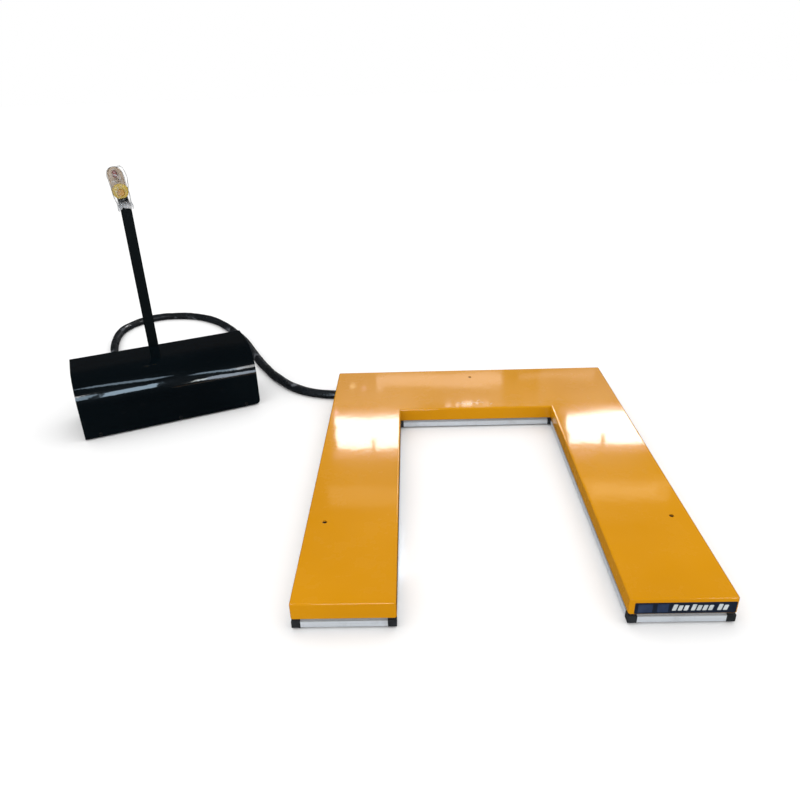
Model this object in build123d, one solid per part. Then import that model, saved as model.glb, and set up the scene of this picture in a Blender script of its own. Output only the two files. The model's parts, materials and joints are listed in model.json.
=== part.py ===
from build123d import *
import math
import os

# U-shaped low-profile scissor lift table with a separate electro-hydraulic power pack.
# Millimetres. Origin: centre of the table's footprint on the floor. +Z is up, the two legs of
# the U point to -Y, and the power pack stands on the -X side.

# ---- Table, driving dimensions ---------------------------------------------------------------
TABLE_X = 1140.0
TABLE_Y = 1450.0
LEG_WIDTH = 275.0
SLOT_DEPTH = 1080.0
CLOSED_HEIGHT = 85.0
LIFT_STROKE = 775.0

# ---- Deck -------------------------------------------------------------------------------------
DECK_PLATE = 4.0
SKIRT_BOTTOM = 36.0
DECK_EDGE_RADIUS = 6.0
DECK_CORNER_RADIUS = 7.0
EYE_HOLE_R = 7.0
EYE_NUT_HEIGHT = 16.0
EYE_HOLES = [(-515.0, -376.0), (515.0, -376.0), (0.0, 649.0)]
LABEL_SIZE = (256.0, 35.0, 0.8)
LABEL_CENTRE_Z = 54.5
ROLLER_TRACK_X = [(384.0, 404.0), (461.0, 481.0)]
ROLLER_TRACK_THICK = 3.0
LEG_RIBS = [(324.0, -690.0, 560.0), (534.0, -690.0, 690.0)]
BRIDGE_RIBS_Y = (405.0, 690.0)
RIB_THICK = 5.0
LEG_RIB_BOTTOM = 50.0
BRIDGE_RIB_BOTTOM = 46.0

# ---- Scissor arms -----------------------------------------------------------------------------
ARM_LENGTH = 1230.0
ARM_HALF_HEIGHT = 18.0
ARM_THICK = 12.0
PIVOT_Y = 590.0
LOWER_PIVOT_Z = 24.0
UPPER_PIVOT_Z = 58.0
SHAFT_R = 14.0
RUNNING_GAP = 0.05
BUSH_WALL = 2.0
LUG_WALL = 3.0
CENTRE_BOSS_R = 25.0
CENTRE_PIN_R = 13.0
CENTRE_WASHER = 3.5
ARM_NECK_REACH = 60.0
ARM_NECK_R = 17.5
ROLLER_R = 19.7
ROLLER_WIDTH = 15.0
AXLE_R = 12.0
STUB_R = 10.0
COLLAR_R = 14.0
CROSS_TUBE_ALONG_ARM = 135.0
CROSS_TUBE_ABOVE_ARM = 8.0
CROSS_TUBE_R = 15.0
ROD_LUG_THICK = 10.0

# Stations across the right leg, from the slot outwards. The left leg is the mirror image.
LEG_MID_X = 432.5
INNER_ARM_X = [(372.0, 384.0), (481.0, 493.0)]
OUTER_ARM_X = [(354.0, 366.0), (499.0, 511.0)]
BASE_LUG_X = [(388.0, 398.0), (467.0, 477.0)]
DECK_LUG_X = [(338.0, 348.0), (517.0, 527.0)]
LOWER_ROLLER_X = (337.0, 513.0)
UPPER_ROLLER_X = (385.0, 465.0)

# ---- Hydraulic cylinders ----------------------------------------------------------------------
BARREL_PIN_Y = 40.0
BARREL_PIN_Z = 32.0
ROD_PIN_ALONG_ARM = 190.0
ROD_PIN_ABOVE_ARM = 12.0
ROD_PIN_R = 10.0
ROD_PIN_PLAY = 9.5
ROD_LUG_R = 28.0
CYLINDER_REST_LENGTH = 353.92
CYLINDER_REST_ANGLE = math.degrees(0.0403)
BARREL_R = 26.0
BORE_R = 21.0
ROD_R = 14.0
BARREL_START = 34.0
BARREL_END = 262.0
BARREL_FLOOR = 12.0
BARREL_EYE_R = 16.0
GLAND_LENGTH = 20.0
PISTON_START = 96.0
PISTON_END = 118.0

# ---- Base frame -------------------------------------------------------------------------------
BASE_HALF_Y = 697.0
BASE_OUTER_X = 542.0
BASE_INNER_X = 322.0
ANGLE_LEG = 28.0
ANGLE_THICK = 4.0
ANCHOR_X = LEG_MID_X
ANCHOR_Y = 640.0
ANCHOR_HOLE_R = 6.5
ANCHOR_PLATE = 48.0
TIE_BANDS_Y = [(-697.0, -670.0), (-330.0, -280.0), (10.0, 70.0), (395.0, 445.0), (562.0, 614.0)]
BOX_WALL = 3.0
BRIDGE_BOX_Y = (395.0, 445.0)
REAR_BOX_Y = (666.0, 696.0)

# ---- Trip frame: the safety rail that hangs under the skirt -----------------------------------
RAIL_BOTTOM = 7.0
RAIL_STEP = 26.0
RAIL_TOP = 48.0
RAIL_WALL = 2.0
RAIL_GAP = 1.0
RAIL_DEPTH = 22.0
UPSTAND_GAP = 6.0
UPSTAND_DEPTH = 17.0
BLOCK = 24.0
BLOCK_BOTTOM = 5.0
BLOCK_STEP = 27.0
BLOCK_GAP = 0.5
BLOCK_LAP = 10.0
HOSE_GATE_FRONT = 34.0
HOSE_GATE_BACK = 28.0
TRIP_STUD_R = 3.0
TRIP_STUD_INSET = 14.5

# ---- Hose sleeve ------------------------------------------------------------------------------
SLEEVE_R = 17.0
SLEEVE_FLOOR_Z = 17.3
HOSE_Y = 646.0
HOSE_TABLE_X = -546.0
HOSE_LEAD_OUT = 150.0
HOSE_BEND_SHARE = 0.45

# ---- Power pack, in its own frame: u along its length, v towards its back, z up ---------------
PACK_CORNER = (-1546.0, 304.0)
PACK_TURN = 25.0
PACK_LENGTH = 705.0
PACK_DEPTH = 262.0
PACK_HEIGHT = 255.0
COVER_SHEET = 1.5
COVER_BOTTOM = 6.0
COVER_ARC_R = 120.0
COVER_CORNER_R = 18.0
OUTLET_U = 202.0
OUTLET_Z = 45.0
OUTLET_REACH = 290.0
POST_U = 335.0
POST_V = 287.0
POST_SIZE = 40.0
POST_WALL = 2.5
POST_TOP = 830.0
HEAD_TILT = 7.0
SCREW_SPOTS = [(60.0, 18.0), (371.0, 18.0), (645.0, 18.0)]
SCREW_R = 3.0
SCREW_HEAD_R = 6.0
VENT_U = (440.0, 600.0)
VENT_HEIGHT = 7.0
VENT_PITCH = 16.0
VENT_START_Z = 110.0
INLET_U = 640.0
INLET_Z = 60.0
TRAY_BOTTOM = 8.0
TRAY_FLOOR = 11.0
FOOT_SPOTS = [(40.0, 30.0), (665.0, 30.0), (40.0, 232.0), (665.0, 232.0), (335.0, 301.0)]
FOOT_R = 16.0
MOTOR_V = 137.0
MOTOR_Z = 100.0
MOTOR_R = 60.0
MOTOR_U = (318.0, 522.0)
FAN_COVER_END = 566.0
VALVE_U = 284.0

HALF_X = TABLE_X / 2
HALF_Y = TABLE_Y / 2
SLOT_HALF = HALF_X - LEG_WIDTH
SLOT_END_Y = -HALF_Y + SLOT_DEPTH
REST_ANGLE = math.degrees(math.asin((UPPER_PIVOT_Z - LOWER_PIVOT_Z) / ARM_LENGTH))
TOP_ANGLE = math.degrees(math.asin((UPPER_PIVOT_Z - LOWER_PIVOT_Z + LIFT_STROKE) / ARM_LENGTH))
ARM_RUN = ARM_LENGTH * math.cos(math.radians(REST_ANGLE))
ROLLER_Y = PIVOT_Y - ARM_RUN
CENTRE_Y = PIVOT_Y - ARM_RUN / 2
CENTRE_Z = (LOWER_PIVOT_Z + UPPER_PIVOT_Z) / 2

nodes = {}


def add(name, *solids):
    """Store one or more separate solids under a node name."""
    nodes.setdefault(name, []).extend(solids)


def block(x0, x1, y0, y1, z0, z1):
    """Box between two corners."""
    centre = Pos((x0 + x1) / 2, (y0 + y1) / 2, (z0 + z1) / 2)
    return centre * Box(abs(x1 - x0), abs(y1 - y0), abs(z1 - z0))


def bar_x(x0, x1, y, z, radius):
    """Round bar along X."""
    return Pos((x0 + x1) / 2, y, z) * Rot(0, 90, 0) * Cylinder(radius, abs(x1 - x0))


def bar_z(x, y, z0, z1, radius):
    """Round bar along Z."""
    return Pos(x, y, (z0 + z1) / 2) * Cylinder(radius, z1 - z0)


def plate_x(sketch, x0, x1):
    """Plate cut from a sketch in the YZ plane, between two X stations."""
    return extrude(Plane.YZ.offset(x0) * sketch, amount=x1 - x0)


def disc(y, z, radius):
    return Pos(y, z) * Circle(radius)


def link(start, end, radius):
    """Round-ended flat bar outline between two centres."""
    dy = end[0] - start[0]
    dz = end[1] - start[1]
    middle = Pos((start[0] + end[0]) / 2, (start[1] + end[1]) / 2)
    turn = Rot(0, 0, math.degrees(math.atan2(dz, dy)))
    return middle * turn * SlotCenterToCenter(math.hypot(dy, dz), 2 * radius)


def both_legs(solid):
    """A right-leg solid and its mirror image in the left leg."""
    return [solid, mirror(solid, about=Plane.YZ)]


def u_outline(inset):
    """U outline of the table, moved inwards from the skirt's outer face."""
    x = HALF_X - inset
    y = HALF_Y - inset
    slot = SLOT_HALF + inset
    end = SLOT_END_Y + inset
    points = [(-x, -y), (-slot, -y), (-slot, end), (slot, end), (slot, -y), (x, -y), (x, y), (-x, y)]
    return make_face(Polyline(*points, close=True))


# ---- Platform ---------------------------------------------------------------------------------
def u_prism(inset, top, corner_r, edge_r):
    """U-shaped block from the skirt's bottom edge, with rounded corners and top edges."""
    height = top - SKIRT_BOTTOM
    prism = Pos(0, 0, SKIRT_BOTTOM) * extrude(u_outline(inset), amount=height)
    corners = []
    for edge in prism.edges().filter_by(Axis.Z):
        if abs(edge.center().Y - (SLOT_END_Y + inset)) > 1:
            corners.append(edge)
    prism = fillet(corners, corner_r)
    return fillet(prism.faces().sort_by(Axis.Z)[-1].edges(), edge_r)


def make_deck():
    outer = u_prism(0, CLOSED_HEIGHT, DECK_CORNER_RADIUS, DECK_EDGE_RADIUS)
    inner = u_prism(
        DECK_PLATE,
        CLOSED_HEIGHT - DECK_PLATE,
        DECK_CORNER_RADIUS - DECK_PLATE,
        DECK_EDGE_RADIUS - DECK_PLATE,
    )
    deck = outer - inner
    for x, y in EYE_HOLES:
        deck -= bar_z(x, y, CLOSED_HEIGHT - 2 * DECK_PLATE, CLOSED_HEIGHT + 1, EYE_HOLE_R)
    return deck


def make_platform():
    under = CLOSED_HEIGHT - DECK_PLATE
    add("platform_deck", make_deck())
    for x, y in EYE_HOLES:
        nut = extrude(RegularPolygon(14.0, 6, major_radius=True), amount=EYE_NUT_HEIGHT)
        nut = Pos(x, y, under - EYE_NUT_HEIGHT) * nut
        add("lifting_eye_nuts", nut - bar_z(x, y, 0, under + 1, EYE_HOLE_R))
    length, height, thick = LABEL_SIZE
    label = Pos(HALF_X - LEG_WIDTH / 2 + 4, -HALF_Y - thick / 2, LABEL_CENTRE_Z)
    add("load_label", label * Box(length, thick, height))
    # Flat tracks for the upper rollers, and stiffening ribs.
    for x0, x1 in ROLLER_TRACK_X:
        track = block(x0, x1, -690, -250, under - ROLLER_TRACK_THICK, under)
        add("deck_ribs", *both_legs(track))
    for x, y0, y1 in LEG_RIBS:
        add("deck_ribs", *both_legs(block(x, x + RIB_THICK, y0, y1, LEG_RIB_BOTTOM, under)))
    for y in BRIDGE_RIBS_Y:
        rib = block(-SLOT_HALF - 5, SLOT_HALF + 5, y, y + RIB_THICK, BRIDGE_RIB_BOTTOM, under)
        add("deck_ribs", rib)
    for x0, x1 in DECK_LUG_X:
        lug = disc(PIVOT_Y, UPPER_PIVOT_Z, SHAFT_R + BUSH_WALL + LUG_WALL)
        lug += Pos(PIVOT_Y, (UPPER_PIVOT_Z + under) / 2) * Rectangle(60, under - UPPER_PIVOT_Z)
        lug -= disc(PIVOT_Y, UPPER_PIVOT_Z, SHAFT_R + BUSH_WALL)
        add("deck_hinge_lugs", *both_legs(plate_x(lug, x0, x1)))
        add("deck_lug_bushes", *both_legs(make_bush(x0, x1, UPPER_PIVOT_Z)))


def make_bush(x0, x1, z):
    """Bronze bush for a torsion shaft, pressed in a lug."""
    ring = disc(PIVOT_Y, z, SHAFT_R + BUSH_WALL) - disc(PIVOT_Y, z, SHAFT_R + RUNNING_GAP)
    return plate_x(ring, x0, x1)


# ---- Trip frame -------------------------------------------------------------------------------
def rail_section():
    """Stepped hollow rail: x is the depth behind the skirt's face, y is the height."""
    low_height = RAIL_STEP - RAIL_BOTTOM
    high_height = RAIL_TOP - RAIL_STEP
    middle = Pos(RAIL_GAP + RAIL_DEPTH / 2, RAIL_BOTTOM + low_height / 2)
    upper = Pos(UPSTAND_GAP + UPSTAND_DEPTH / 2, RAIL_STEP + high_height / 2)
    section = middle * Rectangle(RAIL_DEPTH, low_height)
    section += upper * Rectangle(UPSTAND_DEPTH, high_height)
    section -= middle * Rectangle(RAIL_DEPTH - 2 * RAIL_WALL, low_height - 2 * RAIL_WALL)
    opening = Rectangle(UPSTAND_DEPTH - 2 * RAIL_WALL, high_height - RAIL_WALL)
    return section - upper * Pos(0, -RAIL_WALL / 2) * opening


def rail(start, end, inward):
    """Rail along the skirt's face from start to end; inward points under the deck."""
    along = Vector(end[0] - start[0], end[1] - start[1], 0)
    plane = Plane(
        origin=(start[0], start[1], 0),
        x_dir=(inward[0], inward[1], 0),
        z_dir=Vector(inward[0], inward[1], 0).cross(Vector(0, 0, 1)),
    )
    sign = 1 if plane.z_dir.dot(along) > 0 else -1
    return extrude(plane * rail_section(), amount=sign * along.length)


def studded(start, end, inward, fractions):
    """A rail with hanging holes, and the studs and nuts that carry it."""
    piece = rail(start, end, inward)
    for part_way in fractions:
        x = start[0] + (end[0] - start[0]) * part_way + inward[0] * TRIP_STUD_INSET
        y = start[1] + (end[1] - start[1]) * part_way + inward[1] * TRIP_STUD_INSET
        piece -= bar_z(x, y, RAIL_TOP - 3, RAIL_TOP + 1, TRIP_STUD_R + 0.8)
        stud = bar_z(x, y, 36, CLOSED_HEIGHT - DECK_PLATE, TRIP_STUD_R)
        add("trip_frame_studs", stud + bar_z(x, y, 38, 45.5, TRIP_STUD_R + 2.6))
    add("trip_rails", piece)


def corner_block(x0, x1, y0, y1, faces):
    """Stepped plastic block; faces lists the sides that lie flush with a skirt."""
    low = {"x0": x0, "x1": x1, "y0": y0, "y1": y1}
    high = dict(low)
    for side in faces:
        step = 1 if side.endswith("0") else -1
        low[side] += BLOCK_GAP * step
        high[side] += UPSTAND_GAP * step
    base = block(low["x0"], low["x1"], low["y0"], low["y1"], BLOCK_BOTTOM, BLOCK_STEP)
    return base + block(high["x0"], high["x1"], high["y0"], high["y1"], BLOCK_STEP, RAIL_TOP)


def make_trip_frame():
    x, y, slot = HALF_X, HALF_Y, SLOT_HALF
    gate_front = HOSE_Y - HOSE_GATE_FRONT
    gate_back = HOSE_Y + HOSE_GATE_BACK
    slot_stop = SLOT_END_Y - BLOCK_LAP
    studded((x, -y + BLOCK), (x, y - BLOCK), (-1, 0), (0.08, 0.36, 0.64, 0.92))
    studded((-x, -y + BLOCK), (-x, gate_front), (1, 0), (0.08, 0.36, 0.64, 0.92))
    studded((-x + BLOCK, y), (x - BLOCK, y), (0, -1), (0.1, 0.37, 0.63, 0.9))
    studded((-slot, -y + BLOCK), (-slot, slot_stop), (-1, 0), (0.1, 0.5, 0.9))
    studded((slot, -y + BLOCK), (slot, slot_stop), (1, 0), (0.1, 0.5, 0.9))
    studded((-slot + BLOCK_LAP, SLOT_END_Y), (slot - BLOCK_LAP, SLOT_END_Y), (0, 1), (0.2, 0.8))
    for side in (-1, 1):
        studded((side * (slot + BLOCK), -y), (side * (x - BLOCK), -y), (0, 1), (0.2, 0.8))

    blocks = [
        corner_block(-x, -x + BLOCK, -y, -y + BLOCK, ("x0", "y0")),
        corner_block(x - BLOCK, x, -y, -y + BLOCK, ("x1", "y0")),
        corner_block(-slot - BLOCK, -slot, -y, -y + BLOCK, ("x1", "y0")),
        corner_block(slot, slot + BLOCK, -y, -y + BLOCK, ("x0", "y0")),
        corner_block(x - BLOCK, x, y - BLOCK, y, ("x1", "y1")),
        corner_block(-x, -x + BLOCK, gate_back, y, ("x0", "y1")),
        corner_block(-x, -x + BLOCK, gate_front, gate_front + 6, ("x0",)),
    ]
    # Inside corners of the slot: an L that laps past the corner along both rails.
    for side in (-1, 1):
        corner = corner_block(slot, slot + BLOCK, slot_stop, SLOT_END_Y + BLOCK, ("x0",))
        corner += corner_block(slot - BLOCK_LAP, slot + 2, SLOT_END_Y, SLOT_END_Y + BLOCK, ("y0",))
        blocks.append(corner if side > 0 else mirror(corner, about=Plane.YZ))
    add("trip_corner_blocks", *blocks)

    # Limit switches above the leg-end rails, with their plungers.
    for side in (-1, 1):
        switch_x = side * LEG_MID_X
        switch_y = -HALF_Y + TRIP_STUD_INSET
        body = Pos(switch_x, switch_y, (60 + CLOSED_HEIGHT - DECK_PLATE) / 2)
        body *= Box(28, 12, CLOSED_HEIGHT - DECK_PLATE - 60)
        add("trip_switches", body + bar_z(switch_x, switch_y, 57, 61, 2.5))


# ---- Scissor arms -----------------------------------------------------------------------------
def make_arm(rear_z, front_z, front_hole_r, centre_hole_r):
    """Flat arm outline with a wide centre boss and three bores."""
    rear = (PIVOT_Y, rear_z)
    front = (ROLLER_Y, front_z)
    outline = link(rear, front, ARM_HALF_HEIGHT) + disc(CENTRE_Y, CENTRE_Z, CENTRE_BOSS_R)
    for along in (-1, 1):
        reach = along * ARM_NECK_REACH
        neck = disc(CENTRE_Y + reach, CENTRE_Z + reach * (rear_z - front_z) / ARM_RUN, ARM_NECK_R)
        outline += make_hull((disc(CENTRE_Y, CENTRE_Z, CENTRE_BOSS_R) + neck).edges())
    outline -= disc(*rear, SHAFT_R)
    outline -= disc(*front, front_hole_r)
    outline -= disc(CENTRE_Y, CENTRE_Z, centre_hole_r)
    return outline


def along_inner_arm(distance, above):
    """Point on an inner arm: distance from its rear pivot, and height above its centre line."""
    turn = math.radians(REST_ANGLE)
    y = PIVOT_Y - distance * math.cos(turn) + above * math.sin(turn)
    return y, LOWER_PIVOT_Z + distance * math.sin(turn) + above * math.cos(turn)


def make_inner_scissors():
    outline = make_arm(LOWER_PIVOT_Z, UPPER_PIVOT_Z, AXLE_R, CENTRE_PIN_R)
    for x0, x1 in INNER_ARM_X:
        add("inner_arms", *both_legs(plate_x(outline, x0, x1)))
    reach = INNER_ARM_X[1][1]
    add("inner_torsion_shaft", bar_x(-reach, reach, PIVOT_Y, LOWER_PIVOT_Z, SHAFT_R))

    # Upper roller axle: thick in the arms, thin under the rollers, with a collar each side.
    axle = bar_x(INNER_ARM_X[0][1], INNER_ARM_X[1][0], ROLLER_Y, UPPER_PIVOT_Z, STUB_R)
    for x0, x1 in INNER_ARM_X:
        axle += bar_x(x0, x1, ROLLER_Y, UPPER_PIVOT_Z, AXLE_R)
    for x0, x1 in ((401, 405), (460, 464)):
        axle += bar_x(x0, x1, ROLLER_Y, UPPER_PIVOT_Z, COLLAR_R)
    add("upper_roller_axles", *both_legs(axle))

    # Centre pins: welded in the inner arm, retained outside the outer arm by a washer.
    for start, end in ((384, 350), (481, 515)):
        pin = bar_x(start, end, CENTRE_Y, CENTRE_Z, CENTRE_PIN_R)
        washer = end + math.copysign(CENTRE_WASHER, start - end)
        pin += bar_x(min(washer, end), max(washer, end), CENTRE_Y, CENTRE_Z, CENTRE_PIN_R + 6)
        add("centre_pins", *both_legs(pin))

    # Cross tube and the two lugs that the cylinder rod's pin works in.
    tube_y, tube_z = along_inner_arm(CROSS_TUBE_ALONG_ARM, CROSS_TUBE_ABOVE_ARM)
    pin_y, pin_z = along_inner_arm(ROD_PIN_ALONG_ARM, ROD_PIN_ABOVE_ARM)
    tube = bar_x(INNER_ARM_X[0][1], INNER_ARM_X[1][0], tube_y, tube_z, CROSS_TUBE_R)
    add("rod_lug_frames", *both_legs(tube))
    around_tube = disc(tube_y, tube_z, CROSS_TUBE_R + 5)
    lug = make_hull((disc(pin_y, pin_z, ROD_LUG_R) + around_tube).edges())
    lug -= disc(pin_y, pin_z, ROD_PIN_R + ROD_PIN_PLAY)
    lug -= disc(tube_y, tube_z, CROSS_TUBE_R)
    for x0 in (LEG_MID_X - 28, LEG_MID_X + 18):
        add("rod_lug_frames", *both_legs(plate_x(lug, x0, x0 + ROD_LUG_THICK)))


def make_outer_scissors():
    outline = make_arm(UPPER_PIVOT_Z, LOWER_PIVOT_Z, AXLE_R, CENTRE_PIN_R + BUSH_WALL + 1)
    for x0, x1 in OUTER_ARM_X:
        add("outer_arms", *both_legs(plate_x(outline, x0, x1)))
        bush = disc(CENTRE_Y, CENTRE_Z, CENTRE_PIN_R + BUSH_WALL + 1)
        bush -= disc(CENTRE_Y, CENTRE_Z, CENTRE_PIN_R + RUNNING_GAP)
        add("centre_bushes", *both_legs(plate_x(bush, x0, x1)))
    reach = DECK_LUG_X[1][1] + 3
    add("outer_torsion_shaft", bar_x(-reach, reach, PIVOT_Y, UPPER_PIVOT_Z, SHAFT_R))
    axle = bar_x(OUTER_ARM_X[0][0], OUTER_ARM_X[1][1], ROLLER_Y, LOWER_PIVOT_Z, AXLE_R)
    axle += bar_x(333, 532, ROLLER_Y, LOWER_PIVOT_Z, STUB_R)
    for x0, x1 in ((332, 335), (530, 533)):
        axle += bar_x(x0, x1, ROLLER_Y, LOWER_PIVOT_Z, COLLAR_R)
    add("lower_roller_axles", *both_legs(axle))


def make_rollers():
    """Each pair of rollers on one axle is one node, for each leg and level."""
    levels = {
        "lower_rollers": (LOWER_PIVOT_Z, LOWER_ROLLER_X),
        "upper_rollers": (UPPER_PIVOT_Z, UPPER_ROLLER_X),
    }
    for name, (z, starts) in levels.items():
        for x0 in starts:
            ring = disc(ROLLER_Y, z, ROLLER_R) - disc(ROLLER_Y, z, STUB_R + RUNNING_GAP)
            wheel = plate_x(ring, x0, x0 + ROLLER_WIDTH)
            rim = wheel.edges().filter_by(GeomType.CIRCLE).filter_by(lambda e: e.radius > 15)
            right, left = both_legs(chamfer(rim, 1.0))
            add(name + "_right", right)
            add(name + "_left", left)


# ---- Cylinders --------------------------------------------------------------------------------
def make_cylinders():
    """Each cylinder is drawn along +Y from its barrel pin, then turned to its rest angle."""
    place = Pos(LEG_MID_X, BARREL_PIN_Y, BARREL_PIN_Z) * Rot(CYLINDER_REST_ANGLE, 0, 0)

    def bar_y(y0, y1, radius):
        return Pos(0, (y0 + y1) / 2, 0) * Rot(90, 0, 0) * Cylinder(radius, y1 - y0)

    eye_hole = bar_x(-30, 30, 0, 0, ROD_PIN_R + RUNNING_GAP)
    barrel = bar_y(BARREL_START, BARREL_END, BARREL_R)
    barrel -= bar_y(BARREL_START + BARREL_FLOOR, BARREL_END + 1, BORE_R)
    barrel += block(-12, 12, 0, BARREL_START + 2, -BARREL_EYE_R, BARREL_EYE_R)
    barrel += bar_x(-12, 12, 0, 0, BARREL_EYE_R)
    barrel -= eye_hole
    gland_end = BARREL_END + GLAND_LENGTH
    gland = bar_y(BARREL_END, gland_end, BARREL_R + 2)
    gland += bar_y(BARREL_END - 16, BARREL_END, BORE_R)
    gland -= bar_y(BARREL_END - 17, gland_end + 1, ROD_R + RUNNING_GAP)
    piston = bar_y(PISTON_START, PISTON_END, BORE_R - RUNNING_GAP)
    rod = bar_y(PISTON_END, CYLINDER_REST_LENGTH, ROD_R)
    rod += bar_x(-10, 10, CYLINDER_REST_LENGTH, 0, 17)
    rod -= bar_x(-20, 20, CYLINDER_REST_LENGTH, 0, ROD_PIN_R)
    pin = bar_x(-31, 31, CYLINDER_REST_LENGTH, 0, ROD_PIN_R)
    pieces = {
        "cylinder_barrels": barrel,
        "cylinder_glands": gland,
        "pistons": piston,
        "piston_rods": rod,
        "rod_pins": pin,
    }
    for name, solid in pieces.items():
        add(name, *both_legs(place * solid))
    # Base lugs and the pin that the barrel turns on.
    lug = disc(BARREL_PIN_Y, BARREL_PIN_Z, BARREL_EYE_R)
    foot = Rectangle(44, BARREL_PIN_Z - ANGLE_THICK)
    lug += Pos(BARREL_PIN_Y, (BARREL_PIN_Z + ANGLE_THICK) / 2) * foot
    lug -= disc(BARREL_PIN_Y, BARREL_PIN_Z, ROD_PIN_R + RUNNING_GAP)
    for x0 in (LEG_MID_X - 24, LEG_MID_X + 14):
        add("base_lugs", *both_legs(plate_x(lug, x0, x0 + ROD_LUG_THICK)))
    pin = bar_x(LEG_MID_X - 27, LEG_MID_X + 27, BARREL_PIN_Y, BARREL_PIN_Z, ROD_PIN_R)
    add("barrel_pins", *both_legs(pin))


# ---- Base frame -------------------------------------------------------------------------------
def make_base():
    flange = ANGLE_THICK
    outer_x = BASE_OUTER_X
    inner_x = BASE_INNER_X
    outer = block(outer_x - 30, outer_x, -BASE_HALF_Y, BASE_HALF_Y, 0, flange)
    outer += block(outer_x - flange, outer_x, -BASE_HALF_Y, BASE_HALF_Y, flange, ANGLE_LEG)
    inner = block(inner_x, inner_x + 30, -BASE_HALF_Y, 560, 0, flange)
    inner += block(inner_x, inner_x + flange, -BASE_HALF_Y, 560, flange, ANGLE_LEG)
    right, left = both_legs(outer)
    left -= block(-outer_x - 1, -outer_x + 5, HOSE_Y - 20, HOSE_Y + 20, flange, ANGLE_LEG + 1)
    add("base_roller_angles", right, left, *both_legs(inner))

    # Flat ties between the two angles of each leg, and the box sections that join the legs.
    tie_x = (inner_x + 30, outer_x - 30)
    for y0, y1 in TIE_BANDS_Y:
        add("base_ties", *both_legs(block(*tie_x, y0, y1, 0, flange)))
    for reach, (y0, y1) in ((inner_x, BRIDGE_BOX_Y), (outer_x - 30, REAR_BOX_Y)):
        tube = block(-reach, reach, y0, y1, 0, ANGLE_LEG)
        inside = (BOX_WALL, ANGLE_LEG - BOX_WALL)
        tube -= block(-reach, reach, y0 + BOX_WALL, y1 - BOX_WALL, *inside)
        add("base_box_sections", tube)

    for y in (-ANCHOR_Y, ANCHOR_Y):
        plate = block(*tie_x, y - ANCHOR_PLATE / 2, y + ANCHOR_PLATE / 2, 0, flange)
        plate -= bar_z(ANCHOR_X, y, -1, flange + 1, ANCHOR_HOLE_R)
        add("base_ties", *both_legs(plate))

    for x0, x1 in BASE_LUG_X:
        lug = disc(PIVOT_Y, LOWER_PIVOT_Z, SHAFT_R + BUSH_WALL + LUG_WALL)
        lug += Pos(PIVOT_Y, (LOWER_PIVOT_Z + flange) / 2) * Rectangle(48, LOWER_PIVOT_Z - flange)
        lug -= disc(PIVOT_Y, LOWER_PIVOT_Z, SHAFT_R + BUSH_WALL)
        add("base_lugs", *both_legs(plate_x(lug, x0, x1)))
        add("base_lug_bushes", *both_legs(make_bush(x0, x1, LOWER_PIVOT_Z)))

    # Hose entry: a gland in the left angle's notch, and the block that feeds both pipes.
    gland = bar_x(HOSE_TABLE_X, -520, HOSE_Y, SLEEVE_FLOOR_Z, SLEEVE_R - 2)
    gland += bar_x(-537, -529, HOSE_Y, SLEEVE_FLOOR_Z + 0.9, SLEEVE_R - 3)
    gland -= block(-550, -500, HOSE_Y - 40, HOSE_Y + 40, 0, flange)
    add("table_hose_gland", gland)
    add("table_hose_gland", block(-520, -470, HOSE_Y - 16, HOSE_Y + 16, flange, 34))


# ---- Power pack -------------------------------------------------------------------------------
PACK = Plane(
    origin=(PACK_CORNER[0], PACK_CORNER[1], 0),
    x_dir=(math.cos(math.radians(PACK_TURN)), math.sin(math.radians(PACK_TURN)), 0),
    z_dir=(0, 0, 1),
).location


def cover_outline(inset):
    """Side outline of the cover: upright front, quarter-round shoulder, flat top."""
    top = PACK_HEIGHT - inset
    radius = COVER_ARC_R - inset
    bottom = COVER_BOTTOM - (1 if inset else 0)
    back = PACK_DEPTH + (1 if inset else 0)
    shoulder_z = PACK_HEIGHT - COVER_ARC_R
    edges = [
        Line((inset, bottom), (inset, shoulder_z)),
        RadiusArc((inset, shoulder_z), (COVER_ARC_R, top), radius),
        Line((COVER_ARC_R, top), (back, top)),
        Line((back, top), (back, bottom)),
        Line((back, bottom), (inset, bottom)),
    ]
    return make_face(edges)


def add_pack(name, *solids):
    """Add solids drawn in the pack's own frame."""
    add(name, *[PACK * solid for solid in solids])


def bar_v(u, v0, v1, z, radius):
    """Round bar along the pack's depth."""
    return Pos(u, (v0 + v1) / 2, z) * Rot(90, 0, 0) * Cylinder(radius, abs(v1 - v0))


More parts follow.
